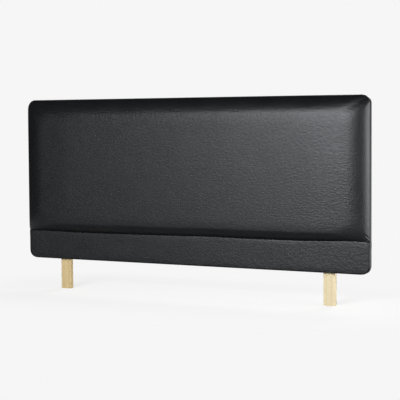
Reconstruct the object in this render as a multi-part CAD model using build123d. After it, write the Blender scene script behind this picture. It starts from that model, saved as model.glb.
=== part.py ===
# Double headboard: a padded vinyl panel with a flat lower band, on two pine struts.
# X runs along the width, Y towards the wall, Z up. The origin lies midway between the struts,
# on the plane of their front faces, level with their feet.
from build123d import *
from math import cos, radians, sin, sqrt
import os

# Panel
panel_width = 1370
panel_height = 610
corner_radius = 30
board_thickness = 15

# Covers, turn-overs and lining
cover_thickness = 0.9
turnover_width = 42
lining_thickness = 0.5
lining_margin = 10

# Padded upper panel
shoulder_depth = 36
shoulder_edge_angle = 60
crown_rise = 4
cushion_corner_radius = 62
tuck_corner_radius = 8
corner_limit_share = 0.9
foam_clearance = 0.3
shoulder_steps = 8
crown_steps = 3
crown_span_share = 0.6

# Lower band
band_height = 104
band_edge_radius = 3.2
band_clearance = 0.3
fold_radius = 0.8
wadding_edge_share = 0.95
strip_height = 12.7
strip_thickness = 1

# Struts
strut_width = 42
strut_thickness = 18
strut_length = 450
strut_drop = 116.4
strut_inset = 151.5
strut_arris = 0.8

# Strut screws
screw_end_distance = 50
screw_diameter = 6
screw_length = 30
screw_head_diameter = 11.6
screw_clearance = 0.25
driver_across_corners = 4.6
driver_sides = 6
driver_depth = 2

# Tee nuts
nut_flange_diameter = 19
nut_flange_thickness = 1.2
nut_barrel_diameter = 7.8
nut_barrel_length = 9
nut_clearance = 0.1
prong_count = 3
prong_length = 6
prong_width = 2.6
prong_thickness = 1

# Staples
staple_crown = 12
staple_leg = 8
staple_wire_width = 1
staple_wire_thickness = 0.6
staple_pitch = 84
staple_end_gap = 60
cover_staple_inset = 31
lining_staple_inset = 18
lining_staple_stand = 0.3
strip_staple_drop = 4
tuck_staple_rise = 3
strut_staple_gap = 12

cut_overrun = 1

# Places that follow from the sizes
half_width = panel_width / 2
panel_bottom = strut_drop
panel_top = panel_bottom + panel_height
tuck_line = panel_bottom + band_height
wrap_back = -lining_thickness
board_back = wrap_back - cover_thickness
board_front = board_back - board_thickness
band_build = 2 * cover_thickness + strip_thickness
wadding_front = board_front - band_build
band_front = wadding_front - cover_thickness
band_top = tuck_line - band_clearance
strip_top = band_top - cover_thickness
strip_bottom = strip_top - strip_height
flap_half_width = half_width - tuck_corner_radius
shoulder_radius = shoulder_depth / (1 - cos(radians(shoulder_edge_angle)))
shoulder_centre_depth = shoulder_radius * cos(radians(shoulder_edge_angle))
shoulder_width = shoulder_radius * sin(radians(shoulder_edge_angle))
crown_reach = (panel_top - tuck_line - shoulder_width - shoulder_depth) / 2
strut_centres = {"left": strut_inset - half_width, "right": half_width - strut_inset}
screw_heights = (panel_bottom + screw_end_distance, strut_length - screw_end_distance)


def block(x_span, y_span, z_span):
    """A box between three pairs of coordinates."""
    size = [high - low for low, high in (x_span, y_span, z_span)]
    middle = [(high + low) / 2 for low, high in (x_span, y_span, z_span)]
    return Pos(*middle) * Box(*size)


def rod(x, z, y_span, diameter):
    """A cylinder along Y."""
    low, high = y_span
    return Pos(x, (low + high) / 2, z) * Rot(X=90) * Cylinder(diameter / 2, high - low)


def rounded_face(y, x_span, z_span, top_radius, low_radius):
    """An upright rectangle in the plane at y, of lines and quarter-circle corners."""
    left, right = x_span
    low, high = z_span
    left_ends = (left, y, low + low_radius), (left, y, high - top_radius)
    top_ends = (left + top_radius, y, high), (right - top_radius, y, high)
    right_ends = (right, y, high - top_radius), (right, y, low + low_radius)
    low_ends = (right - low_radius, y, low), (left + low_radius, y, low)
    edges = [
        Line(*left_ends),
        TangentArc(left_ends[1], top_ends[0], tangent=(0, 0, 1)),
        Line(*top_ends),
        TangentArc(top_ends[1], right_ends[0], tangent=(1, 0, 0)),
        Line(*right_ends),
        TangentArc(right_ends[1], low_ends[0], tangent=(0, 0, -1)),
        Line(*low_ends),
        TangentArc(low_ends[1], left_ends[0], tangent=(-1, 0, 0)),
    ]
    return make_face(edges)


def panel_prism(inset, y_span):
    """The panel's rounded outline, drawn in by inset, between two depths."""
    front, back = y_span
    radius = corner_radius - inset
    x_span = (inset - half_width, half_width - inset)
    z_span = (panel_bottom + inset, panel_top - inset)
    outline = rounded_face(front, x_span, z_span, radius, radius)
    return extrude(outline, amount=back - front, dir=(0, 1, 0))


def front_edges(solid):
    """The edges round the face that looks away from the wall."""
    return solid.faces().sort_by(Axis.Y)[0].edges()


def above(z):
    """The whole space of the panel above a height."""
    half = half_width + cut_overrun
    back = strut_thickness
    front = band_front - shoulder_depth - crown_rise
    return block((-half, half), (front, back), (z, panel_top + cut_overrun))


def turnover_window():
    """The opening inside the covers' turned-over edges at the back."""
    half = half_width - turnover_width
    z_span = (panel_bottom + turnover_width, panel_top - turnover_width)
    return block((-half, half), (board_back - cut_overrun, wrap_back + cut_overrun), z_span)


# Board with the holes for the tee nuts

def backboard():
    board = panel_prism(cover_thickness, (board_front, board_back))
    hole_diameter = nut_barrel_diameter + 2 * nut_clearance
    recess_diameter = nut_flange_diameter + 2 * nut_clearance
    for x in strut_centres.values():
        for z in screw_heights:
            hole_span = (board_front - cut_overrun, board_back + cut_overrun)
            board -= rod(x, z, hole_span, hole_diameter)
            recess_span = (board_front - cut_overrun, board_front + nut_flange_thickness)
            board -= rod(x, z, recess_span, recess_diameter)
    return board


# Padded upper panel

def shoulder_inset(depth, skin):
    """How far the top and sides are drawn in at a depth, on a surface skin below the cover's."""
    along = sqrt((shoulder_radius - skin) ** 2 - (depth + shoulder_centre_depth) ** 2)
    return shoulder_width - along


def underside_inset(depth, skin):
    """The same for the underside, which leaves the board square and rolls round."""
    return shoulder_depth - sqrt((shoulder_depth - skin) ** 2 - depth**2)


def cushion_section(depth, side, under, skin):
    """One section of the cushion: its corners round out as its sides draw in."""
    low = tuck_line + under
    high = panel_top - side
    share = min(side / shoulder_width, 1)
    full_radius = min(cushion_corner_radius, (high - low) / 2 * corner_limit_share)
    top_radius = corner_radius + (full_radius - corner_radius) * share - skin
    low_radius = tuck_corner_radius + (full_radius - tuck_corner_radius) * share - skin
    x_span = (side - half_width, half_width - side)
    return rounded_face(board_front - depth, x_span, (low, high), top_radius, low_radius)


def cushion(skin):
    """The crowned cushion with drawn-in sides, its surface skin below the cover's own."""
    sections = []
    for step in range(shoulder_steps):
        angle = radians(shoulder_edge_angle * (1 - step / shoulder_steps))
        full_depth = shoulder_radius * cos(angle) - shoulder_centre_depth
        depth = full_depth * (1 - skin / shoulder_depth)
        side = shoulder_inset(depth, skin)
        sections.append(cushion_section(depth, side, underside_inset(depth, skin), skin))
    for step in range(1, crown_steps + 1):
        share = crown_span_share * step / crown_steps
        depth = shoulder_depth - skin + crown_rise * (1 - (1 - share) ** 2)
        reach = crown_reach * share
        sections.append(cushion_section(depth, shoulder_width + reach, shoulder_depth + reach, skin))
    return loft(sections, ruled=True)


def upper_cover():
    shell = panel_prism(0, (board_front, wrap_back)) & above(tuck_line)
    shell += cushion(0)
    hollow = panel_prism(cover_thickness, (board_front, board_back)) + cushion(cover_thickness)
    flap = block(
        (-flap_half_width, flap_half_width),
        (board_front - cover_thickness, board_front),
        (strip_bottom, tuck_line + cover_thickness),
    )
    return shell - hollow - turnover_window() + flap


# Lower band

def band_wadding():
    inset = cover_thickness + band_clearance
    pad = panel_prism(inset, (wadding_front, board_front))
    soft_radius = band_edge_radius - cover_thickness + band_clearance
    edge_radius = min(soft_radius, band_build * wadding_edge_share)
    pad = fillet(front_edges(pad), edge_radius)
    return pad - above(strip_bottom)


def band_cover():
    shell = fillet(front_edges(panel_prism(0, (band_front, wrap_back))), band_edge_radius)
    shell -= above(band_top)
    top_face = shell.faces().sort_by(Axis.Z)[-1]
    back_edge = top_face.edges().sort_by(Axis.Y)[-1]
    shell = fillet([edge for edge in top_face.edges() if edge != back_edge], fold_radius)
    pad_space = panel_prism(cover_thickness, (wadding_front, board_front + cut_overrun))
    pad_space = fillet(front_edges(pad_space), band_edge_radius - cover_thickness)
    shell -= pad_space - above(strip_top)
    flap_span = (-flap_half_width, flap_half_width)
    leg_span = (wadding_front + strip_thickness, board_front - cover_thickness)
    shell += block(flap_span, leg_span, (strip_bottom, band_top))
    flap_space = (board_front - cover_thickness, board_front + cut_overrun)
    shell -= block(flap_span, flap_space, (strip_bottom, tuck_line))
    shell -= panel_prism(cover_thickness, (board_front, board_back))
    return shell - turnover_window()


def tack_strip():
    x_span = (-flap_half_width, flap_half_width)
    return block(x_span, (wadding_front, wadding_front + strip_thickness), (strip_bottom, strip_top))


# Back lining, pierced by the strut screws

def back_lining():
    sheet = panel_prism(lining_margin, (wrap_back, 0))
    for x in strut_centres.values():
        for z in screw_heights:
            pierced = (wrap_back - cut_overrun, cut_overrun)
            sheet -= rod(x, z, pierced, screw_diameter + 2 * screw_clearance)
    return sheet


# Struts, their screws and the tee nuts

def screw_shape(x, z, clearance):
    """A countersunk screw, or with a clearance the hole that it sits in."""
    diameter = screw_diameter + 2 * clearance
    head_diameter = screw_head_diameter + 2 * clearance
    head_height = (head_diameter - diameter) / 2
    head = Cone(head_diameter / 2, diameter / 2, head_height)
    head = Pos(x, strut_thickness - head_height / 2, z) * Rot(X=90) * head
    return head + rod(x, z, (strut_thickness - screw_length, strut_thickness), diameter)


def strut(x):
    x_span = (x - strut_width / 2, x + strut_width / 2)
    post = block(x_span, (0, strut_thickness), (0, strut_length))
    post = chamfer(post.edges().filter_by(Axis.Z), strut_arris)
    for z in screw_heights:
        post -= screw_shape(x, z, screw_clearance)
    return post


def strut_screws(x):
    screws = []
    for z in screw_heights:
        outline = RegularPolygon(driver_across_corners / 2, driver_sides)
        socket = extrude(outline, driver_depth + cut_overrun)
        socket = Pos(x, strut_thickness + cut_overrun, z) * Rot(X=90) * socket
        screws.append(screw_shape(x, z, 0) - socket)
    return screws


def tee_nut(x, z):
    nut = rod(x, z, (board_front, board_front + nut_flange_thickness), nut_flange_diameter)
    nut += rod(x, z, (board_front, board_front + nut_barrel_length), nut_barrel_diameter)
    prong_out = nut_flange_diameter / 2 - prong_thickness
    for number in range(prong_count):
        prong = block(
            (prong_out - prong_thickness, prong_out),
            (board_front, board_front + prong_length),
            (-prong_width / 2, prong_width / 2),
        )
        nut += Pos(x, 0, z) * Rot(Y=number * 360 / prong_count) * prong
    bore_span = (board_front - cut_overrun, board_front + nut_barrel_length + cut_overrun)
    return nut - rod(x, z, bore_span, screw_diameter + 2 * nut_clearance)


# Staples

def staple(x, z, y_out, inward, upright):
    """A staple whose crown shows at y_out and whose legs run inward, +1 or -1 along Y."""
    crown_y = sorted((y_out, y_out + inward * staple_wire_thickness))
    leg_y = sorted((y_out, y_out + inward * staple_leg))
    across = (-staple_wire_width / 2, staple_wire_width / 2)
    shape = block((-staple_crown / 2, staple_crown / 2), crown_y, across)
    for side in (-1, 1):
        outer = side * staple_crown / 2
        inner = outer - side * staple_wire_thickness
        shape += block(sorted((inner, outer)), leg_y, across)
    return Pos(x, 0, z) * Rot(Y=90 if upright else 0) * shape


def spread(low, high):
    """Evenly spaced places from low to high, about one staple pitch apart."""
    count = max(round((high - low) / staple_pitch), 1)
    return [low + (high - low) * number / count for number in range(count + 1)]


def cover_staples(z_row, side_places):
    """Staples through a turned-over cover: one row along it, and one up each side."""
    reach = half_width - staple_end_gap
    staples = [staple(x, z_row, wrap_back, -1, False) for x in spread(-reach, reach)]
    for x in (cover_staple_inset - half_width, half_width - cover_staple_inset):
        staples += [staple(x, z, wrap_back, -1, True) for z in side_places]
    return staples


def upper_cover_staples():
    side_places = spread(tuck_line + staple_end_gap / 2, panel_top - staple_end_gap)
    return cover_staples(panel_top - cover_staple_inset, side_places)


def band_cover_staples():
    side_places = [panel_bottom + staple_end_gap]
    return cover_staples(panel_bottom + cover_staple_inset, side_places)


def tuck_staples():
    reach = flap_half_width - staple_end_gap
    z = strip_bottom + tuck_staple_rise
    y_out = board_front - cover_thickness
    return [staple(x, z, y_out, 1, False) for x in spread(-reach, reach)]


def tack_strip_staples():
    reach = flap_half_width - staple_end_gap / 2
    z = strip_top - strip_staple_drop
    return [staple(x, z, wadding_front, 1, False) for x in spread(-reach, reach)]


def clear_of_struts(x, z):
    """Whether a staple at this place misses both struts."""
    least = (strut_width + staple_crown) / 2 + strut_staple_gap
    above_strut = z > strut_length + staple_crown
    return above_strut or min(abs(x - centre) for centre in strut_centres.values()) > least


def lining_staples():
    reach = half_width - staple_end_gap
    across = spread(-reach, reach)
    upward = spread(panel_bottom + staple_end_gap, panel_top - staple_end_gap)
    places = [(x, panel_top - lining_staple_inset, False) for x in across]
    places += [(x, panel_bottom + lining_staple_inset, False) for x in across]
    for x in (lining_staple_inset - half_width, half_width - lining_staple_inset):
        places += [(x, z, True) for z in upward]
    return [
        staple(x, z, lining_staple_stand, -1, upright)
        for x, z, upright in places
        if clear_of_struts(x, z)
    ]


nodes = {
    "backboard": backboard(),
    "foam_pad": cushion(cover_thickness + foam_clearance),
    "upper_cover": upper_cover(),
    "band_wadding": band_wadding(),
    "band_cover": band_cover(),
    "tack_strip": tack_strip(),
    "back_lining": back_lining(),
    "upper_cover_staples": Compound(children=upper_cover_staples()),
    "band_cover_staples": Compound(children=band_cover_staples()),
    "tuck_staples": Compound(children=tuck_staples()),
    "tack_strip_staples": Compound(children=tack_strip_staples()),
    "lining_staples": Compound(children=lining_staples()),
}
for side, x in strut_centres.items():
    nodes[f"strut_{side}"] = strut(x)
    nodes[f"strut_screws_{side}"] = Compound(children=strut_screws(x))
    nodes[f"tee_nuts_{side}"] = Compound(children=[tee_nut(x, z) for z in screw_heights])

os.makedirs("parts", exist_ok=True)
for name, shape in nodes.items():
    export_step(shape, f"parts/{name}.step")
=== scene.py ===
# A black vinyl headboard for a double bed: a padded upper panel over a flat lower band, on two
# pine struts. The sections follow the object as it is put together, from the struts outwards,
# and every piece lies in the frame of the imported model, in metres.
from math import cos, exp, hypot, pi, radians, sin, sqrt

import bmesh
import bpy
from mathutils import Matrix, Vector, noise


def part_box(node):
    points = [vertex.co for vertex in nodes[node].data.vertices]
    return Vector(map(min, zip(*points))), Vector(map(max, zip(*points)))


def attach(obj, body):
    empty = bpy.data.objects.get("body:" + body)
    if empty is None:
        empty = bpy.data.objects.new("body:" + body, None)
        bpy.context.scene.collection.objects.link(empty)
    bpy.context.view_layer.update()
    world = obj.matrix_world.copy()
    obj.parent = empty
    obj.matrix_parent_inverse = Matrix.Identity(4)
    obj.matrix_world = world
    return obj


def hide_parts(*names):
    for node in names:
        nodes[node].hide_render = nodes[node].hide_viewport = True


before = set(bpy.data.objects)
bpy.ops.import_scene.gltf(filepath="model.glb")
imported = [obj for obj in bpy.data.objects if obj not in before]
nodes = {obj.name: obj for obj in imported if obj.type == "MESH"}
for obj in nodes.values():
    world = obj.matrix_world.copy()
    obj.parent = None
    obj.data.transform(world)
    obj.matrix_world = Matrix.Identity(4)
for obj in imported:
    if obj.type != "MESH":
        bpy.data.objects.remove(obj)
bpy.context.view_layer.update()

scene = bpy.context.scene
scene.view_settings.view_transform = "Standard"


# Camera
# A long lens to the right of the panel, level with its upper part, looking slightly down. The
# direction and the place come from the photograph's own perspective.
camera_place = Vector((1.7848, -3.6388, 0.6312))
camera_yaw = radians(25.586)
camera_pitch = radians(2.813)
camera_roll = radians(-0.390)

aim = Vector((
    -sin(camera_yaw) * cos(camera_pitch),
    cos(camera_yaw) * cos(camera_pitch),
    -sin(camera_pitch),
))
level_right = Vector((cos(camera_yaw), sin(camera_yaw), 0))
level_up = level_right.cross(aim)
camera_right = level_right * cos(camera_roll) + level_up * sin(camera_roll)
camera_up = level_up * cos(camera_roll) - level_right * sin(camera_roll)

camera_data = bpy.data.cameras.new("camera")
camera_data.sensor_width = 36
camera_data.lens = 100.37
camera_data.shift_y = -0.0536
camera_data.clip_start = 0.05
camera_data.clip_end = 200
camera = bpy.data.objects.new("camera", camera_data)
scene.collection.objects.link(camera)
camera.matrix_world = Matrix.Translation(camera_place) @ Matrix((
    (camera_right.x, camera_up.x, -aim.x, 0),
    (camera_right.y, camera_up.y, -aim.y, 0),
    (camera_right.z, camera_up.z, -aim.z, 0),
    (0, 0, 0, 1),
))
scene.camera = camera


# Struts
# Two planed pine battens, square-cut at the foot, screwed upright to the back of the board.
# Pale unvarnished softwood: flat-sawn grain along the length, rings and pores on the cut ends.
def node_maker(tree):
    """A maker of shader nodes: inputs are given by name, or by number after an underscore."""
    def add(kind, settings=None, **inputs):
        node = tree.nodes.new("ShaderNode" + kind)
        for key, value in (settings or {}).items():
            setattr(node, key, value)
        for key, value in inputs.items():
            label = int(key[1:]) if key[1:].isdigit() else key.replace("_", " ")
            socket = node.inputs[label]
            if isinstance(value, bpy.types.NodeSocket):
                tree.links.new(value, socket)
            else:
                socket.default_value = value
        return node

    return add


def new_material(name):
    """A node material with its principled shader, its tree and a maker of linked nodes."""
    material = bpy.data.materials.new(name)
    material.use_nodes = True
    tree = material.node_tree
    return material, tree.nodes["Principled BSDF"], tree, node_maker(tree)


def feed(tree, shader, **outputs):
    """Links node outputs to the shader's inputs of the same names."""
    for key, output in outputs.items():
        tree.links.new(output, shader.inputs[key.replace("_", " ")])


def ramp(add, value, stops):
    """A colour ramp over a value, with its stops as (position, colour) pairs."""
    node = add("ValToRGB", Fac=value)
    elements = node.color_ramp.elements
    while len(elements) < len(stops):
        elements.new(0.5)
    for element, (place, colour) in zip(elements, stops):
        element.position = place
        element.color = (*colour, 1)
    return node.outputs["Color"]


def multiplied(add, share, first, second):
    """The first colour darkened by the second, as far as the share says."""
    node = add("Mix", {"data_type": "RGBA", "blend_type": "MULTIPLY"},
               _0=share, _6=first, _7=second)
    return node.outputs[2]


def pine():
    material, shader, tree, add = new_material("pine")
    place = add("TexCoord").outputs["Object"]
    # Growth rings: long ellipses round a pith that lies well outside the batten.
    stretched = add("Mapping", Vector=place, Scale=(1, 1, 0.035)).outputs["Vector"]
    wander = add("TexNoise", Vector=stretched, Scale=9.0, Detail=3.0).outputs["Color"]
    bent = add("VectorMath", {"operation": "MULTIPLY_ADD"},
               _0=wander, _1=(0.05, 0.05, 0.0), _2=stretched).outputs["Vector"]
    ring_map = add("Mapping", Vector=bent, Location=(0.03, 0.16, 0.0)).outputs["Vector"]
    rings = add("TexWave", {"wave_type": "RINGS", "rings_direction": "Z", "wave_profile": "SAW"},
                Vector=ring_map, Scale=15.0, Distortion=1.2, Detail=2.0)
    fibre_map = add("Mapping", Vector=place, Scale=(1, 1, 0.02)).outputs["Vector"]
    fibre = add("TexNoise", Vector=fibre_map, Scale=900.0, Detail=2.0).outputs["Fac"]
    grain = ramp(add, rings.outputs["Fac"], [
        (0.0, (1.0, 1.0, 1.0)),
        (0.65, (0.97, 0.96, 0.94)),
        (0.9, (0.89, 0.86, 0.78)),
        (1.0, (0.99, 0.98, 0.96)),
    ])
    # The left-hand batten is coloured darker and a deeper yellow than the right-hand one: partly
    # the boards' own tones, partly painted shade for the light that falls off away from the right.
    across = add("SeparateXYZ", Vector=place).outputs["X"]
    which = add("MapRange", Value=across, From_Min=-0.1, From_Max=0.1).outputs["Result"]
    batten_tone_and_shade = add("Mix", {"data_type": "RGBA"}, _0=which,
                _6=(0.62, 0.485, 0.262, 1), _7=(0.71, 0.615, 0.405, 1)).outputs[2]
    streak = ramp(add, fibre, [(0.3, (0.93, 0.92, 0.89)), (0.7, (1, 1, 1))])
    colour = multiplied(add, 0.8, multiplied(add, 1.0, batten_tone_and_shade, grain), streak)
    rough = add("MapRange", Value=fibre, To_Min=0.5, To_Max=0.68).outputs["Result"]
    bump = add("Bump", Strength=0.35, Distance=0.0004, Height=fibre).outputs["Normal"]
    feed(tree, shader, Base_Color=colour, Roughness=rough, Normal=bump)
    return material


def dress(node_name, material):
    """Gives a CAD node its own material."""
    slots = nodes[node_name].data.materials
    slots.clear()
    slots.append(material)


pine_wood = pine()
for side in ("left", "right"):
    dress(f"strut_{side}", pine_wood)


# Screws and tee nuts
# Two countersunk machine screws hold each strut to pronged tee nuts pressed into the board from
# the front. All are bright zinc-plated steel with fine machining marks.
def zinc_steel():
    material, shader, tree, add = new_material("zinc_steel")
    shader.inputs["Metallic"].default_value = 1
    place = add("TexCoord").outputs["Object"]
    blotch = add("TexNoise", Vector=place, Scale=260.0, Detail=3.0).outputs["Fac"]
    colour = ramp(add, blotch, [(0.35, (0.60, 0.61, 0.62)), (0.65, (0.74, 0.74, 0.72))])
    rough = add("MapRange", Value=blotch, To_Min=0.25, To_Max=0.42).outputs["Result"]
    scratch = add("TexNoise", Vector=place, Scale=2600.0, Detail=1.0).outputs["Fac"]
    bump = add("Bump", Strength=0.2, Distance=0.00005, Height=scratch).outputs["Normal"]
    feed(tree, shader, Base_Color=colour, Roughness=rough, Normal=bump)
    return material


zinc = zinc_steel()
for side in ("left", "right"):
    dress(f"strut_screws_{side}", zinc)
    dress(f"tee_nuts_{side}", zinc)


# Board
# One panel of raw chipboard with rounded corners, drilled for the tee nuts. Everything is
# stapled or screwed to it, and the covers and the lining hide it all over.
def chipboard():
    material, shader, tree, add = new_material("chipboard")
    shader.inputs["Roughness"].default_value = 0.8
    place = add("TexCoord").outputs["Object"]
    flakes = add("TexVoronoi", Vector=place, Scale=320.0)
    colour = ramp(add, flakes.outputs["Color"], [
        (0.1, (0.42, 0.29, 0.15)),
        (0.5, (0.62, 0.48, 0.30)),
        (0.9, (0.78, 0.66, 0.46)),
    ])
    bump = add("Bump", Strength=0.5, Distance=0.0003, Height=flakes.outputs["Distance"])
    feed(tree, shader, Base_Color=colour, Normal=bump.outputs["Normal"])
    return material


dress("backboard", chipboard())


# Staples
# Galvanised wire staples hold the turned-over covers, the hidden flap, the card strip and the
# lining. Only the lining's own row shows, on the back.
def staple_wire():
    material, shader, tree, add = new_material("staple_wire")
    shader.inputs["Metallic"].default_value = 1
    place = add("TexCoord").outputs["Object"]
    dull = add("TexNoise", Vector=place, Scale=420.0, Detail=2.0).outputs["Fac"]
    colour = ramp(add, dull, [(0.3, (0.52, 0.52, 0.51)), (0.7, (0.70, 0.70, 0.68))])
    rough = add("MapRange", Value=dull, To_Min=0.3, To_Max=0.5).outputs["Result"]
    feed(tree, shader, Base_Color=colour, Roughness=rough)
    return material


wire = staple_wire()
for row in ("upper_cover", "band_cover", "tuck", "tack_strip", "lining"):
    dress(f"{row}_staples", wire)


# Padded upper panel
# One sheet of black leather-grained vinyl is pulled over a crowned block of upholstery foam,
# round the top and side edges of the board and stapled to its back; a flap runs down behind the
# band. It is a grid of rings: the shoulder's rings round out towards the face.
def weighed(add, value, weight, base=0.0):
    """A value times its weight, on top of a base."""
    node = add("Math", {"operation": "MULTIPLY_ADD"}, _0=value, _1=weight, _2=base)
    return node.outputs["Value"]


def stepped(add, value, low, high):
    """A smooth step from 0 to 1 between two values."""
    node = add("MapRange", {"interpolation_type": "SMOOTHSTEP"},
               Value=value, From_Min=low, From_Max=high)
    return node.outputs["Result"]


def black_vinyl():
    material, shader, tree, add = new_material("black_vinyl")
    shader.inputs["Specular IOR Level"].default_value = 0.34
    shader.inputs["Specular Tint"].default_value = (0.92, 0.96, 1.0, 1)
    place = add("TexCoord").outputs["Object"]
    # Pebble grain of about a millimetre, drawn out a little along the roll.
    pebble_map = add("Mapping", Vector=place, Scale=(0.62, 1, 1)).outputs["Vector"]
    warp = add("TexNoise", Vector=pebble_map, Scale=500.0, Detail=2.0).outputs["Color"]
    warped = add("VectorMath", {"operation": "MULTIPLY_ADD"},
                 _0=warp, _1=(0.0009, 0.0009, 0.0009), _2=pebble_map).outputs["Vector"]
    cells = add("TexVoronoi", {"feature": "DISTANCE_TO_EDGE"}, Vector=warped, Scale=900.0)
    pebble = stepped(add, cells.outputs["Distance"], 0.0, 0.22)
    # Streaks along the width, as long as a finger and a few millimetres high.
    streak_map = add("Mapping", Vector=place, Scale=(0.16, 1, 1)).outputs["Vector"]
    streak = add("TexNoise", Vector=streak_map,
                 Scale=190.0, Detail=3.0, Roughness=0.6).outputs["Fac"]
    # Shallow puckers about a centimetre across, which catch the light unevenly.
    pucker_map = add("Mapping", Vector=place, Scale=(0.5, 1, 1)).outputs["Vector"]
    pucker = add("TexNoise", Vector=pucker_map,
                 Scale=170.0, Detail=4.0, Roughness=0.65).outputs["Fac"]
    mottle = add("TexNoise", Vector=place, Scale=14.0, Detail=4.0).outputs["Fac"]
    tint = weighed(add, streak, 0.6, weighed(add, mottle, 0.4))
    colour = ramp(add, tint, [
        (0.3, (0.0040, 0.0042, 0.0047)),
        (0.7, (0.0080, 0.0084, 0.0094)),
    ])
    rough = add("MapRange", Value=tint, From_Min=0.3, From_Max=0.7, To_Min=0.29, To_Max=0.37)
    fine = weighed(add, streak, 0.15, weighed(add, pebble, 0.025))
    height = weighed(add, pucker, 0.9, fine)
    bump = add("Bump", Strength=1.0, Distance=0.001, Height=height)
    feed(tree, shader, Base_Color=colour, Roughness=rough.outputs["Result"],
         Normal=bump.outputs["Normal"])
    return material


vinyl = black_vinyl()
vinyl_thickness = 0.0009

half_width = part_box("upper_cover")[1].x
panel_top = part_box("upper_cover")[1].z
panel_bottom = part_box("band_cover")[0].z
wrap_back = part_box("upper_cover")[1].y
board_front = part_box("backboard")[0].y
board_middle = -0.008
tuck_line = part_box("band_cover")[1].z + 0.0003

# The shoulder's curve and its corners.
board_corner_radius = 0.030
ridge_top_radius = 0.036
ridge_low_radius = 0.060
corner_fade_rings = 14
corner_rounding = 0.4
shoulder_depth = 0.0355
shoulder_steepness = 1.9
shoulder_fullness = 1.95
side_width = 0.081
top_width = 0.060
underside_reach = 0.036

# The face rises towards its middle: from outside its edges to this far inside them.
crown_rise = 0.0060
crown_start = -0.07
crown_full_x = 0.14
crown_full_z = 0.032

# The grid's fineness.
shoulder_rings = 18
face_step = 0.0125

# The foam's slow unevenness, as waves to the metre and their heights.
foam_waves = ((3.1, 0.0007), (8.5, 0.00025), (23.0, 0.00007))
scallop_waves = 13.0
scallop_size = 0.0011
scallop_fade = 0.05

# The pleat at the right-hand end of the tuck: its ridges as places across it and heights.
pleat_reach = 0.0225
pleat_rise = 0.0250
pleat_size = 0.0021
pleat_ridge_width = 0.0021
pleat_ridges = ((0.0, -1.0), (0.0042, 0.9), (0.0084, -0.6))

# How far the cover swells under its tension, and how often that is evened out.
swell_limit = 0.0006
swell_evening = 14
swell_frames = 20

# The parts that the panel's front doesn't show.
turnover_width = 0.042
flap_height = 0.0135
side_overlap = 0.012
corner_pleat_size = 0.0004
corner_pleats = 7

# The line of the tuck: places across the width and how far it lies above a straight line there.
fold_line = [
    (-0.685, 0.0030), (-0.609, 0.0032), (-0.478, 0.0020), (-0.412, 0.0014), (-0.281, 0.0018),
    (-0.154, 0.0028), (-0.030, 0.0038), (0.091, 0.0052), (0.209, 0.0040), (0.324, 0.0042),
    (0.436, 0.0044), (0.491, 0.0056), (0.546, 0.0070), (0.600, 0.0090), (0.640, 0.0098),
    (0.665, 0.0090), (0.685, 0.0052),
]
fold_fade = 0.075


def smooth_step(low, high, value):
    """A smooth step from 0 to 1 between two values."""
    share = max(0.0, min(1.0, (value - low) / (high - low)))
    return share * share * (3 - 2 * share)


def fold_rise(x):
    """How far the tuck lies above a straight line at a place across the width."""
    x = max(fold_line[0][0], min(fold_line[-1][0], x))
    for (x_a, rise_a), (x_b, rise_b) in zip(fold_line, fold_line[1:]):
        if x <= x_b:
            return rise_a + (rise_b - rise_a) * smooth_step(x_a, x_b, x)
    return fold_line[-1][1]


def rounded(x, z, box, radius_top, radius_low):
    """A point of a rectangle's outline moved onto the same outline with rounded corners."""
    left, right, low, high = box
    for corner_x, out_x in ((left, -1), (right, 1)):
        for corner_z, out_z, radius in ((low, -1, radius_low), (high, 1, radius_top)):
            along_x = abs(x - corner_x)
            along_z = abs(z - corner_z)
            if max(along_x, along_z) < radius:
                angle = pi / 4 * (1 + (along_x - along_z) / radius)
                centre_x = corner_x - out_x * radius
                centre_z = corner_z - out_z * radius
                return (centre_x + out_x * radius * cos(angle),
                        centre_z + out_z * radius * sin(angle))
    return x, z


def shoulder_ring(number):
    """One ring's inset and depth at the sides and top, then its inset and depth underneath.

    The insets are shares of the shoulder's width there.
    """
    share = number / shoulder_rings
    inset = share ** shoulder_steepness
    turn = pi / 2 * share
    side_depth = shoulder_depth * (1 - (1 - inset) ** shoulder_fullness) ** (1 / shoulder_fullness)
    return inset, side_depth, 1 - cos(turn), shoulder_depth * sin(turn)


shoulder = [shoulder_ring(number) for number in range(shoulder_rings + 1)]
side_insets, side_depths, low_insets, low_depths = zip(*shoulder)
face_right = half_width - side_width
face_low = tuck_line + underside_reach
face_high = panel_top - top_width
column_count = round(2 * (half_width - side_width) / face_step)
row_count = round((panel_top - tuck_line - top_width - underside_reach) / face_step)
x_lines = [side_width * inset - half_width for inset in side_insets[:-1]]
x_lines += [face_right * (2 * i / column_count - 1) for i in range(column_count + 1)]
x_lines += [half_width - side_width * inset for inset in reversed(side_insets[:-1])]
z_lines = [tuck_line + underside_reach * inset for inset in low_insets[:-1]]
z_lines += [face_low + (face_high - face_low) * i / row_count for i in range(row_count + 1)]
z_lines += [panel_top - top_width * inset for inset in reversed(side_insets[:-1])]
x_last = len(x_lines) - 1
z_last = len(z_lines) - 1

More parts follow.
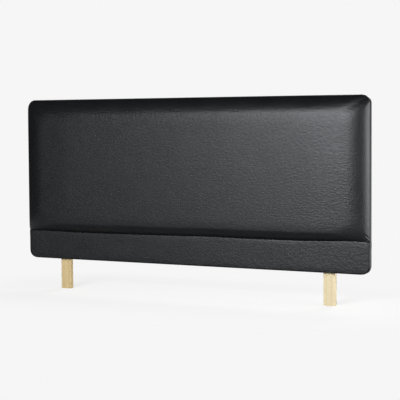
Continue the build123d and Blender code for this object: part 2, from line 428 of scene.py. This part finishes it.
cover = bmesh.new()
bmesh.ops.create_grid(cover, x_segments=x_last, y_segments=z_last, size=0.5)
side_rim = []
low_rim = []
for vertex in cover.verts:
    i = round((vertex.co.x + 0.5) * x_last)
    j = round((vertex.co.y + 0.5) * z_last)
    ring = min(i, x_last - i, j, z_last - j)
    share = min(1, ring / shoulder_rings)
    grown = sin(pi / 2 * share)
    fade = max(0, 1 - max(0, ring - shoulder_rings) / corner_fade_rings)
    radius_top = (board_corner_radius + (ridge_top_radius - board_corner_radius) * grown) * fade
    radius_low = ridge_low_radius * grown * fade
    box = (x_lines[ring], x_lines[x_last - ring], z_lines[ring], z_lines[z_last - ring])
    x, z = x_lines[i], z_lines[j]
    side_depth = side_depths[min(ring, shoulder_rings)]
    low_depth = low_depths[min(ring, shoulder_rings)]
    # The lower corners go over from the sides' curve to the one underneath.
    lowness = 0.0
    if radius_low > 0 and abs(z - box[2]) < radius_low:
        corner_x = min(abs(x - box[0]), abs(x - box[1]))
        corner_z = abs(z - box[2])
        lowness = smooth_step(-1, 1, (corner_x - corner_z) / radius_low)
    depth = side_depth + (low_depth - side_depth) * lowness
    # The upper corners fall away a little, where the top's curve meets the sides'.
    if z_last - j < shoulder_rings:
        other_ring = min(max(z_last - j, min(i, x_last - i)), shoulder_rings)
        depth *= (side_depths[other_ring] / shoulder_depth) ** corner_rounding
    if radius_top > 0:
        x, z = rounded(x, z, box, radius_top, radius_low)
    crown_x = smooth_step(crown_start, crown_full_x, face_right - abs(x))
    crown_z = smooth_step(crown_start, crown_full_z, min(z - face_low, face_high - z))
    depth += crown_rise * (crown_x + crown_z - 1) * share
    vertex.co = (x, board_front - depth, z)
    if ring == 0:
        (low_rim if j == 0 else side_rim).append(vertex)
        if j == 0 and i in (0, x_last):
            side_rim.append(vertex)

# The foam gives its face a slow unevenness, and the staples in the tuck draw it in a little.
for vertex in cover.verts:
    x, y, z = vertex.co
    raised = smooth_step(0, shoulder_depth, board_front - y)
    shift = sum(size * noise.noise(Vector((x, 0.4, z)) * waves) for waves, size in foam_waves)
    pull = 1 - smooth_step(0, scallop_fade, z - tuck_line)
    scallop = scallop_size * noise.noise(Vector((x * scallop_waves, 2.7, 0))) * pull
    vertex.co.y += (shift + scallop) * raised

# The cover is blown out against its own tension and held at the board's edge, as foam fills it.
panel_mesh = bpy.data.meshes.new("padded_panel")
cover.normal_update()
rim_indices = {vertex.index for vertex in side_rim} | {vertex.index for vertex in low_rim}
cover.to_mesh(panel_mesh)
panel = bpy.data.objects.new("padded_panel", panel_mesh)
scene.collection.objects.link(panel)
held = panel.vertex_groups.new(name="held")
held.add(sorted(rim_indices), 1.0, "REPLACE")
cloth = panel.modifiers.new("cover_tension", "CLOTH")
cloth.settings.quality = 6
cloth.settings.mass = 0.25
cloth.settings.tension_stiffness = 60
cloth.settings.compression_stiffness = 10
cloth.settings.shear_stiffness = 20
cloth.settings.bending_stiffness = 60
cloth.settings.use_pressure = True
cloth.settings.uniform_pressure_force = 4
cloth.settings.effector_weights.gravity = 0
cloth.settings.vertex_group_mass = "held"
cloth.point_cache.frame_start = 1
cloth.point_cache.frame_end = swell_frames
for frame_number in range(1, swell_frames + 1):
    scene.frame_set(frame_number)
blown = panel.evaluated_get(bpy.context.evaluated_depsgraph_get())
moved = [point.co.copy() for point in blown.to_mesh().vertices]
blown.to_mesh_clear()
panel.modifiers.clear()
panel.vertex_groups.clear()
scene.frame_set(1)
# The foam behind lets the sheet move outwards only, and evens out its buckles.
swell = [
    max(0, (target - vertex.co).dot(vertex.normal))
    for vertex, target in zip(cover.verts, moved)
]
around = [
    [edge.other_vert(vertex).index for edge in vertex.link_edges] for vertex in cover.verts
]
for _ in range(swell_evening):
    swell = [
        0 if index in rim_indices
        else (swell[index] + sum(swell[k] for k in near)) / (1 + len(near))
        for index, near in enumerate(around)
    ]
for vertex, size in zip(cover.verts, swell):
    vertex.co += vertex.normal * (swell_limit * size / (swell_limit + size))

# At the right-hand end of the tuck the spare vinyl gathers into a small slanting pleat.
cover.normal_update()
pleat_line = Vector((pleat_reach, -pleat_rise)).normalized()
pleat_start = Vector((half_width - pleat_reach, tuck_line + pleat_rise))
for vertex in cover.verts:
    if vertex.index in rim_indices:
        continue
    offset = Vector((vertex.co.x, vertex.co.z)) - pleat_start
    along = offset.dot(pleat_line) / hypot(pleat_reach, pleat_rise)
    across = offset.dot(Vector((-pleat_line.y, pleat_line.x)))
    lengthwise = smooth_step(0.0, 0.3, along) * (1 - smooth_step(1.0, 1.15, along))
    ridges = sum(
        height * exp(-(((across - place) / pleat_ridge_width) ** 2))
        for place, height in pleat_ridges
    )
    vertex.co += vertex.normal * (pleat_size * lengthwise * ridges)


# From the board's front edge the sheet turns round the sides and top to the back.
def drawn_in(start, inset):
    """A rim point drawn in by an inset, along the rounded outline."""
    centre_x = half_width - board_corner_radius
    centre_z = panel_top - board_corner_radius
    out_x = max(0, abs(start.x) - centre_x)
    out_z = max(0, start.z - centre_z)
    sign = 1 if start.x > 0 else -1
    if inset < board_corner_radius:
        reach = hypot(out_x, out_z)
        scale = (reach - inset) / reach
        return sign * (abs(start.x) - out_x * (1 - scale)), start.z - out_z * (1 - scale)
    # Further in the corners are mitred. The diagonal itself counts as the side's.
    on_side = out_x * 1.0001 >= out_z
    inner_x = half_width - inset
    inner_z = panel_top - inset
    corner_x = half_width - board_corner_radius * (1 - cos(pi / 4))
    corner_z = panel_top - board_corner_radius * (1 - cos(pi / 4))
    if on_side:
        share = (start.z - tuck_line) / (corner_z - tuck_line)
        return sign * inner_x, tuck_line + (inner_z - tuck_line) * share
    return sign * abs(start.x) / corner_x * inner_x, inner_z


def corner_pleat(start, inset):
    """How far the gathered vinyl stands out at the back of a rounded corner."""
    out_x = abs(start.x) - (half_width - board_corner_radius)
    out_z = start.z - (panel_top - board_corner_radius)
    if out_x <= 0 or out_z <= 0 or not 0.001 < inset < board_corner_radius:
        return 0
    turn = abs((out_x - out_z) / board_corner_radius)
    return corner_pleat_size * (0.5 + 0.5 * cos(turn * corner_pleats * pi)) * (1 - turn)


def open_edges(shape, rim):
    """The open edges along a rim, and where each of the rim's points starts."""
    starts = {vertex: vertex.co.copy() for vertex in rim}
    row = [edge for edge in shape.edges if edge.is_boundary and set(edge.verts) <= starts.keys()]
    return row, starts


def extruded(shape, edges, starts):
    """Extrudes a row of edges; gives the new edges, and for each new point its first place."""
    made = bmesh.ops.extrude_edge_only(shape, edges=edges)["geom"]
    fresh = {part for part in made if isinstance(part, bmesh.types.BMVert)}
    new_edges = [part for part in made if isinstance(part, bmesh.types.BMEdge)]
    carried = {}
    for vertex in fresh:
        before = [edge.other_vert(vertex) for edge in vertex.link_edges]
        carried[vertex] = next(starts[other] for other in before if other in starts)
    return [edge for edge in new_edges if set(edge.verts) <= fresh], carried


# The sheet's way round the board's edge: how far back, and how far in from the outline.
wrap_rows = [
    (board_front + 0.0014, 0.0),
    (board_front + 0.0055, 0.0),
    (wrap_back - 0.0045, 0.0),
    (wrap_back - 0.0014, 0.0),
    (wrap_back - 0.0004, 0.0004),
    (wrap_back, 0.0014),
    (wrap_back, 0.0065),
    (wrap_back, 0.013),
    (wrap_back, 0.022),
    (wrap_back, turnover_width),
]
row, starts = open_edges(cover, side_rim)
for y, inset in wrap_rows:
    row, starts = extruded(cover, row, starts)
    for vertex, start in starts.items():
        x, z = drawn_in(start, inset)
        under_band = side_overlap if start.z < tuck_line + 0.0001 else 0
        vertex.co = (x, y + corner_pleat(start, inset), z - under_band)

# Below, the sheet turns down over the board's front as a flap, hidden behind the band's fold.
row, starts = open_edges(cover, low_rim)
for drop in (0.0, flap_height / 2, flap_height):
    row, starts = extruded(cover, row, starts)
    for vertex in starts:
        vertex.co.y = board_front - vinyl_thickness
        vertex.co.z = tuck_line - drop

# The tuck isn't quite straight: it rises towards the right-hand end.
for vertex in cover.verts:
    near = 1 - smooth_step(0.0, fold_fade, vertex.co.z - tuck_line)
    vertex.co.z += fold_rise(vertex.co.x) * near


def finish_sheet(shape, name, material, thickness):
    """Turns a sheet's outer side outwards and makes it a smooth piece with a real thickness."""
    bmesh.ops.recalc_face_normals(shape, faces=shape.faces)
    outward = sum(
        face.normal.y * face.calc_area() * (face.calc_center_median().y - board_middle)
        for face in shape.faces
    )
    if outward < 0:
        bmesh.ops.reverse_faces(shape, faces=shape.faces)
    for face in shape.faces:
        face.smooth = True
    mesh = bpy.data.meshes.get(name) or bpy.data.meshes.new(name)
    shape.to_mesh(mesh)
    shape.free()
    piece = bpy.data.objects.get(name)
    if piece is None:
        piece = bpy.data.objects.new(name, mesh)
        scene.collection.objects.link(piece)
    smooth = piece.modifiers.new("smooth", "SUBSURF")
    smooth.levels = smooth.render_levels = 1
    wall = piece.modifiers.new("thickness", "SOLIDIFY")
    wall.thickness = thickness
    wall.offset = -1
    mesh.materials.append(material)
    return piece


finish_sheet(cover, "padded_panel", vinyl, vinyl_thickness)
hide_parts("upper_cover", "foam_pad")
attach(panel, "root")


# Lower band
# A second sheet of the same vinyl, laid face down and stapled through a card strip, then turned
# down over thin wadding, so that its top edge is a crisp fold; its sides and bottom go round the
# board to the back.
band_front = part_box("band_cover")[0].y
band_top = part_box("band_cover")[1].z
edge_radius = 0.0045
edge_rings = 4
left_edge_share = 0.5
band_row_height = 0.007
fold_roll_height = 0.0036
fold_roll_depth = 0.0014
fold_leg = 0.0125
roll_steps = 7
wadding_unevenness = 0.0009
lap_start = -0.024
lap_full = -0.012
lap_side = 0.0006
lap_back = 0.0004

edge_insets = [edge_radius * (1 - cos(pi / 2 * k / edge_rings)) for k in range(edge_rings + 1)]
edge_backs = [edge_radius * (1 - sin(pi / 2 * k / edge_rings)) for k in range(edge_rings + 1)]
flat_right = half_width - edge_radius
flat_low = panel_bottom + edge_radius
flat_high = band_top - fold_roll_height
band_columns = round(2 * (half_width - edge_radius) / face_step)
band_rows = round((band_top - fold_roll_height - panel_bottom - edge_radius) / band_row_height)
# The left-hand edge turns in less than the right-hand one.
band_x = [left_edge_share * inset - half_width for inset in edge_insets[:-1]]
band_x += [flat_right * (2 * i / band_columns - 1) for i in range(band_columns + 1)]
band_x += [half_width - inset for inset in reversed(edge_insets[:-1])]
band_z = [panel_bottom + inset for inset in edge_insets[:-1]]
band_z += [flat_low + (flat_high - flat_low) * i / band_rows for i in range(band_rows + 1)]
roll = [pi / 2 * k / roll_steps for k in range(1, roll_steps + 1)]
band_z += [flat_high + fold_roll_height * sin(turn) for turn in roll]
x_last = len(band_x) - 1
z_last = len(band_z) - 1

band_shape = bmesh.new()
bmesh.ops.create_grid(band_shape, x_segments=x_last, y_segments=z_last, size=0.5)
band_rim = []
fold_rim = []
for vertex in band_shape.verts:
    i = round((vertex.co.x + 0.5) * x_last)
    j = round((vertex.co.y + 0.5) * z_last)
    ring = min(i, x_last - i, j)
    x, z = band_x[i], band_z[j]
    inset = min(x - band_x[0], band_x[-1] - x, z - band_z[0])
    radius = max(0, board_corner_radius - inset)
    if radius > 0:
        # Only the lower corners are rounded, so the box has its top far above.
        box = (band_x[0] + inset, band_x[-1] - inset, band_z[0] + inset, 9)
        x, z = rounded(x, z, box, 0, radius)
    y = band_front + edge_backs[min(ring, edge_rings)]
    rolled = max(0, z - flat_high) / fold_roll_height
    y += fold_roll_depth * (1 - sqrt(max(0, 1 - rolled * rolled)))
    vertex.co = (x, min(y, board_front - 0.0005), z)
    if ring == 0:
        band_rim.append(vertex)
    if j == z_last:
        fold_rim.append(vertex)

# The wadding leaves the flat face a little uneven.
for vertex in band_shape.verts:
    x, y, z = vertex.co
    inside = smooth_step(0, 0.02, min(half_width - abs(x), z - panel_bottom))
    inside *= smooth_step(0, 0.012, band_top - z)
    swell = 0.5 + 0.5 * noise.noise(Vector((x * 7.0, 1.3, z * 11.0)))
    vertex.co.y -= wadding_unevenness * inside * swell

# The band goes round the board as the upper sheet does, so its rim points are mirrored to the
# top, drawn in there and mirrored back.
row, starts = open_edges(band_shape, band_rim)
for y, inset in wrap_rows:
    row, starts = extruded(band_shape, row, starts)
    for vertex, start in starts.items():
        mirrored = Vector((start.x, start.y, panel_top + panel_bottom - start.z))
        x, z = drawn_in(mirrored, inset)
        vertex.co = (x, y + corner_pleat(mirrored, inset), panel_top + panel_bottom - z)

# At the fold the sheet turns back down, close to the upper cover's flap.
fold_back = board_front - vinyl_thickness - 0.0001
fold_rows = [
    (fold_back - 0.0005, 0.0003),
    (fold_back, 0.0012),
    (fold_back, 0.005),
    (fold_back, fold_leg),
]
row, starts = open_edges(band_shape, fold_rim)
for y, drop in fold_rows:
    row, starts = extruded(band_shape, row, starts)
    for vertex in starts:
        vertex.co.x = max(-flat_right, min(flat_right, vertex.co.x))
        vertex.co.y = y
        vertex.co.z = band_top - drop

# At its ends the band laps over the upper cover's edge, and so stands a little proud there. Its
# top edge follows the line of the tuck.
for vertex in band_shape.verts:
    x, y, z = vertex.co
    lapped = smooth_step(lap_start, lap_full, z - band_top)
    out = 1 if x > 0 else -1
    vertex.co.x += lap_side * lapped * smooth_step(flat_right, half_width, abs(x)) * out
    vertex.co.y += lap_back * lapped * smooth_step(wrap_back - 0.0006, wrap_back, y)
    vertex.co.z += fold_rise(x) * smooth_step(-fold_fade, 0.0, z - tuck_line)

band = finish_sheet(band_shape, "lower_band", vinyl, vinyl_thickness)
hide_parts("band_cover", "band_wadding")
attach(band, "root")


# Card strip
# A strip of stiff grey-brown card is stapled along the top of the band's cover, and the cover
# folds down over it. It keeps the fold crisp, and follows the line of the tuck.
def grey_card():
    material, shader, tree, add = new_material("grey_card")
    shader.inputs["Roughness"].default_value = 0.9
    place = add("TexCoord").outputs["Object"]
    fibre = add("TexNoise", Vector=place, Scale=600.0, Detail=4.0).outputs["Fac"]
    colour = ramp(add, fibre, [(0.3, (0.36, 0.28, 0.19)), (0.7, (0.50, 0.41, 0.29))])
    feed(tree, shader, Base_Color=colour)
    return material


strip_low, strip_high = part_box("tack_strip")
strip_clearance = 0.00015
strip_drop = 0.002
strip_cuts = 120
card = bmesh.new()
bmesh.ops.create_cube(card, size=1)
for vertex in card.verts:
    right, back, upper = (measure > 0 for measure in vertex.co)
    vertex.co = (
        strip_high.x if right else strip_low.x,
        strip_high.y - strip_clearance if back else strip_low.y + strip_clearance,
        strip_high.z - strip_drop if upper else strip_low.z - strip_drop,
    )
long_edges = [edge for edge in card.edges if abs(edge.verts[0].co.x - edge.verts[1].co.x) > 0.1]
bmesh.ops.subdivide_edges(card, edges=long_edges, cuts=strip_cuts)
for vertex in card.verts:
    vertex.co.z += fold_rise(vertex.co.x)
card_mesh = bpy.data.meshes.new("card_strip")
card.to_mesh(card_mesh)
card.free()
card_strip = bpy.data.objects.new("card_strip", card_mesh)
scene.collection.objects.link(card_strip)
card_mesh.materials.append(grey_card())
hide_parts("tack_strip")
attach(card_strip, "root")


# Back lining
# A sheet of thin black non-woven cloth covers the turned edges at the back. It is stapled taut
# all round and nipped flat under the struts, and slackens a little between them.
def black_lining():
    material, shader, tree, add = new_material("black_lining")
    place = add("TexCoord").outputs["Object"]
    web_map = add("Mapping", Vector=place, Scale=(1, 1, 0.5)).outputs["Vector"]
    web = add("TexNoise", Vector=web_map,
              Scale=1500.0, Detail=3.0, Roughness=0.7).outputs["Fac"]
    cloud = add("TexNoise", Vector=place, Scale=60.0, Detail=4.0).outputs["Fac"]
    # The web is bonded at a close grid of small pressed points.
    bonds = add("TexVoronoi", {"feature": "F1", "distance": "CHEBYCHEV"},
                Vector=place, Scale=650.0, Randomness=0.0)
    pressed = stepped(add, bonds.outputs["Distance"], 0.12, 0.3)
    colour = ramp(add, cloud, [(0.3, (0.020, 0.020, 0.021)), (0.7, (0.036, 0.036, 0.038))])
    rough = add("MapRange", Value=pressed, To_Min=0.6, To_Max=0.92).outputs["Result"]
    height = weighed(add, pressed, 0.6, web)
    bump = add("Bump", Strength=0.6, Distance=0.0002, Height=height).outputs["Normal"]
    feed(tree, shader, Base_Color=colour, Roughness=rough, Normal=bump)
    return material


lining_low, lining_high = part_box("back_lining")
lining_half = lining_high.x
lining_thickness = 0.0005
lining_radius = 0.020
lining_step = 0.010
lining_slack = 0.0011
# Held flat this far in from its edges and beside the struts, and free from there.
edge_held, edge_free = 0.012, 0.07
strut_held, strut_free = 0.002, 0.04

strut_sides = []
for side in ("left", "right"):
    strut_low, strut_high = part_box(f"strut_{side}")
    strut_sides.append((strut_low.x, strut_high.x))
strut_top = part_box("strut_left")[1].z
sheet_columns = round(2 * lining_half / lining_step)
sheet_rows = round((lining_high.z - lining_low.z) / lining_step)
lining = bmesh.new()
bmesh.ops.create_grid(lining, x_segments=sheet_columns, y_segments=sheet_rows, size=0.5)
for vertex in lining.verts:
    x = vertex.co.x * 2 * lining_half
    z = lining_low.z + (vertex.co.y + 0.5) * (lining_high.z - lining_low.z)
    inset = min(lining_half - abs(x), z - lining_low.z, lining_high.z - z)
    radius = max(0, lining_radius - inset)
    if radius > 0:
        box = (inset - lining_half, lining_half - inset,
               lining_low.z + inset, lining_high.z - inset)
        x, z = rounded(x, z, box, radius, radius)
    free = smooth_step(edge_held, edge_free, inset)
    for left, right in strut_sides:
        free *= smooth_step(strut_held, strut_free, max(left - x, x - right, z - strut_top))
    ripple = 0.5 + 0.5 * noise.noise(Vector((x * 5.0 + z * 3.0, 4.1, z * 7.0 - x * 2.0)))
    ripple += 0.35 * noise.noise(Vector((x * 16.0, 7.9, z * 12.0)))
    vertex.co = (x, lining_slack * free * max(0, ripple), z)
lining_sheet = finish_sheet(lining, "lining_sheet", black_lining(), lining_thickness)
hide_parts("back_lining")
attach(lining_sheet, "root")


# Floor, backdrop and light
# Matt pale paper lies under the object and a pale backdrop stands round it. Broad soft lamps
# stand in front, behind and far round on the right, with smaller ones low in front, at the left
# and towards the right-hand ridge.
pale = 0.92
dim = 0.05
paper = 0.32
paper_glow = 0.708
floor_radius = 30
feet_reach = 0.5
# Gloss shows the pale paper and backdrop on this side only.
pale_side = (0.816, 0.578, 0.0)
# A dark cloth hung behind the right-hand end keeps that edge from glaring.
cloth_side = (0.26, 0.966, 0.0)
lamp_spread = radians(120)


def calculated(add, operation, first, second):
    return add("Math", {"operation": operation}, _0=first, _1=second).outputs["Value"]


def larger(add, first, second):
    return calculated(add, "MAXIMUM", first, second)


def product(add, first, second):
    return calculated(add, "MULTIPLY", first, second)


def towards(add, direction, side):
    """How far a direction or a place lies towards a side."""
    node = add("VectorMath", {"operation": "DOT_PRODUCT"}, _0=direction, _1=side)
    return node.outputs["Value"]


def seen_shares(add):
    """Is a ray the camera's own, and is it one that a gloss or a glass shows? 1 or 0 each."""
    path = add("LightPath").outputs
    return path["Is Camera Ray"], larger(add, path["Is Glossy Ray"], path["Is Transmission Ray"])


def pale_floor():
    """Matt paper as pale as the backdrop, with the object's soft shadow round its feet."""
    material, shader, tree, add = new_material("pale_floor")
    shader.inputs["Base Color"].default_value = (paper, paper, paper, 1)
    shader.inputs["Roughness"].default_value = 1
    shader.inputs["Specular IOR Level"].default_value = 0
    place = add("TexCoord").outputs["Object"]
    split = add("SeparateXYZ", Vector=place).outputs
    # The distance from the line between the feet, which ends just short of them.
    out_x = add("Math", {"operation": "ABSOLUTE"}, _0=split["X"]).outputs["Value"]
    beside = larger(add, calculated(add, "SUBTRACT", out_x, feet_reach), 0.0)
    to_feet = add("CombineXYZ", X=beside, Y=split["Y"]).outputs["Vector"]
    distance = add("VectorMath", {"operation": "LENGTH"}, _0=to_feet).outputs["Value"]
    camera_ray, shown_ray = seen_shares(add)
    shown = product(add, shown_ray, stepped(add, towards(add, place, pale_side), -1.9, -0.7))
    shown = product(add, shown, stepped(add, distance, 0.3, 1.0))
    share = larger(add, product(add, camera_ray, stepped(add, distance, 0.1, 0.55)), shown)
    near_glow = add("Emission", Color=(paper_glow, paper_glow, paper_glow, 1), Strength=camera_ray)
    lit = add("AddShader", _0=shader.outputs["BSDF"], _1=near_glow.outputs["Emission"])
    glow = add("Emission", Color=(pale, pale, pale, 1), Strength=1.0)
    mixed = add("MixShader", _0=share, _1=lit.outputs["Shader"], _2=glow.outputs["Emission"])
    feed(tree, tree.nodes["Material Output"], Surface=mixed.outputs["Shader"])
    return material


floor_shape = bmesh.new()
bmesh.ops.create_circle(floor_shape, cap_ends=True, segments=96, radius=floor_radius)
floor_mesh = bpy.data.meshes.new("floor")
floor_shape.to_mesh(floor_mesh)
floor_shape.free()
floor = bpy.data.objects.new("floor", floor_mesh)
scene.collection.objects.link(floor)
floor_mesh.materials.append(pale_floor())

world = bpy.data.worlds.new("studio")
scene.world = world
world.use_nodes = True


def studio():
    """A pale backdrop all round, under a dim ceiling."""
    tree = world.node_tree
    add = node_maker(tree)
    direction = add("TexCoord").outputs["Generated"]
    height = add("SeparateXYZ", Vector=direction).outputs["Z"]
    low_part = add("MapRange", {"interpolation_type": "SMOOTHSTEP"}, Value=height,
                   From_Min=0.22, From_Max=0.55, To_Min=1.0, To_Max=0.0).outputs["Result"]
    camera_ray, shown_ray = seen_shares(add)
    shown = product(add, shown_ray, stepped(add, towards(add, direction, pale_side), -0.5, -0.03))
    behind_cloth = stepped(add, towards(add, direction, cloth_side), 0.88, 0.97)
    shown = product(add, shown, calculated(add, "SUBTRACT", 1.0, behind_cloth))
    share = product(add, low_part, larger(add, camera_ray, shown))
    colour = add("Mix", {"data_type": "RGBA"}, _0=share,
                 _6=(dim, dim, dim, 1), _7=(pale, pale, pale, 1)).outputs[2]
    feed(tree, tree.nodes["Background"], Color=colour)


studio()


def soft_light(name, place, target, size, power):
    """A rectangular soft light that faces a point."""
    data = bpy.data.lights.new(name, "AREA")
    data.shape = "RECTANGLE"
    data.size, data.size_y = size
    data.energy = power
    data.spread = lamp_spread
    light = bpy.data.objects.new(name, data)
    scene.collection.objects.link(light)
    light.visible_camera = False
    light.location = place
    light.rotation_mode = "QUATERNION"
    light.rotation_quaternion = (Vector(target) - Vector(place)).to_track_quat("-Z", "Y")


soft_light("front_light", (-0.15, -3.2, 1.35), (0.1, 0.0, 0.45), (1.8, 0.75), 39)
soft_light("ridge_light", (0.1, -3.3, 1.0), (0.6, 0.0, 0.5), (0.4, 0.4), 6)
soft_light("back_light", (0.5, 3.4, 2.2), (0.0, 0.0, 0.3), (2.4, 1.2), 26)
soft_light("low_light", (-0.3, -3.3, 0.15), (0.2, 0.0, 0.3), (0.8, 0.4), 4.4)
soft_light("fill_light", (-1.9, -3.5, 0.4), (0.0, 0.0, 0.4), (2.2, 1.2), 6.4)
soft_light("side_light", (3.0, -0.2, 0.6), (0.6, 0.0, 0.4), (3.2, 1.2), 44)
